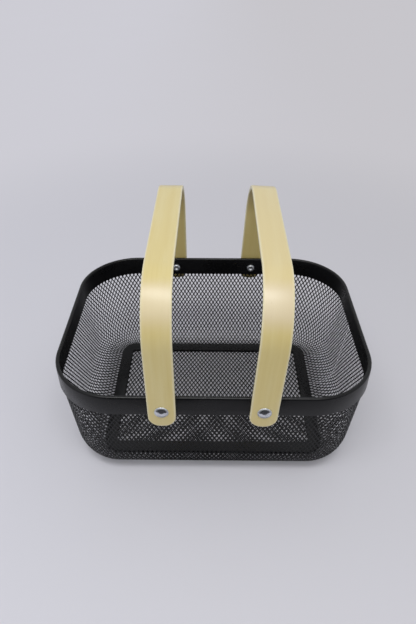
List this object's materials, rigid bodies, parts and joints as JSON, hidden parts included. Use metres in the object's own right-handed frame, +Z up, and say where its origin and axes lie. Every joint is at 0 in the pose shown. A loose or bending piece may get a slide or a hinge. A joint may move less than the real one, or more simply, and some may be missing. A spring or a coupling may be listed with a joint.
{
  "type": "wire mesh basket",
  "caption": "Rounded rectangular basket of black expanded metal with a folded steel rim, a ringed base and bentwood handles that fold out over its ends.",
  "frame": {"origin": "centre of the base ring's underside, on the surface that the basket stands on", "axes": "+X along the basket's length, towards the right handle; +Y across it, to the rear; +Z up"},
  "size_m": [0.33, 0.2722, 0.2471],
  "materials": {
    "black_paint": "satin black powder coat",
    "birch": "clear satin lacquer on pale bentwood",
    "bright_zinc": "bright zinc plate"
  },
  "bodies": {
    "basket": {"rim_band": "black_paint", "wall_mesh": "black_paint", "floor_mesh": "black_paint", "base_ring_upper": "black_paint", "base_ring_lower": "black_paint", "rivet_front_left": "bright_zinc", "rivet_front_right": "bright_zinc", "rivet_rear_left": "bright_zinc", "rivet_rear_right": "bright_zinc", "rivet_cap_front_left": "bright_zinc", "rivet_cap_front_right": "bright_zinc", "rivet_cap_rear_left": "bright_zinc", "rivet_cap_rear_right": "bright_zinc", "washer_front_left": "bright_zinc", "washer_front_right": "bright_zinc", "washer_rear_left": "bright_zinc", "washer_rear_right": "bright_zinc"},
    "handle_left": {"handle_left": "birch"},
    "handle_right": {"handle_right": "birch"}
  },
  "joints": [
    {"name": "handle_left_fold", "type": "hinge", "parent": "basket", "child": "handle_left", "pos_m": [-0.0495, 0, 0.113], "axis": [0, -1, 0], "range_deg": [-15, 110]},
    {"name": "handle_right_fold", "type": "hinge", "parent": "basket", "child": "handle_right", "pos_m": [0.0495, 0, 0.113], "axis": [0, 1, 0], "range_deg": [-18, 107]}
  ]
}
